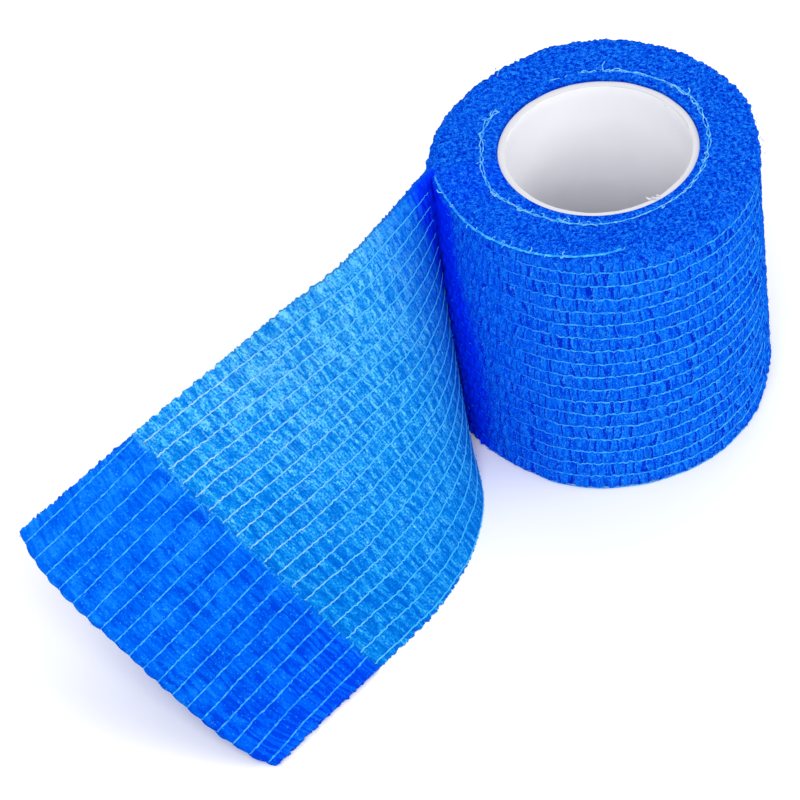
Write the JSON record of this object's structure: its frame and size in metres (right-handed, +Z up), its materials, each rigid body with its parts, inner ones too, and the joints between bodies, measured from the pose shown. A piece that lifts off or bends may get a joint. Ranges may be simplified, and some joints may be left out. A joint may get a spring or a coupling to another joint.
{
  "type": "cohesive bandage roll",
  "caption": "Blue crinkled cohesive bandage wound on a white core tube, standing on end, with its loose end drawn out and folded over.",
  "frame": {"origin": "centre of the bounding box, on the surface the roll stands on", "axes": "+Z up along the roll's axis, +X from the loose end's tip towards the roll, -Y to the side the loose end is drawn out to"},
  "size_m": [0.1218, 0.1028, 0.05],
  "materials": {
    "blue_cohesive_cloth": "matte crinkled non-woven with pale elastic threads along it",
    "white_core": "satin white plastic tube"
  },
  "bodies": {
    "root": {"bandage": "blue_cohesive_cloth", "core_tube": "white_core"}
  },
  "joints": []
}
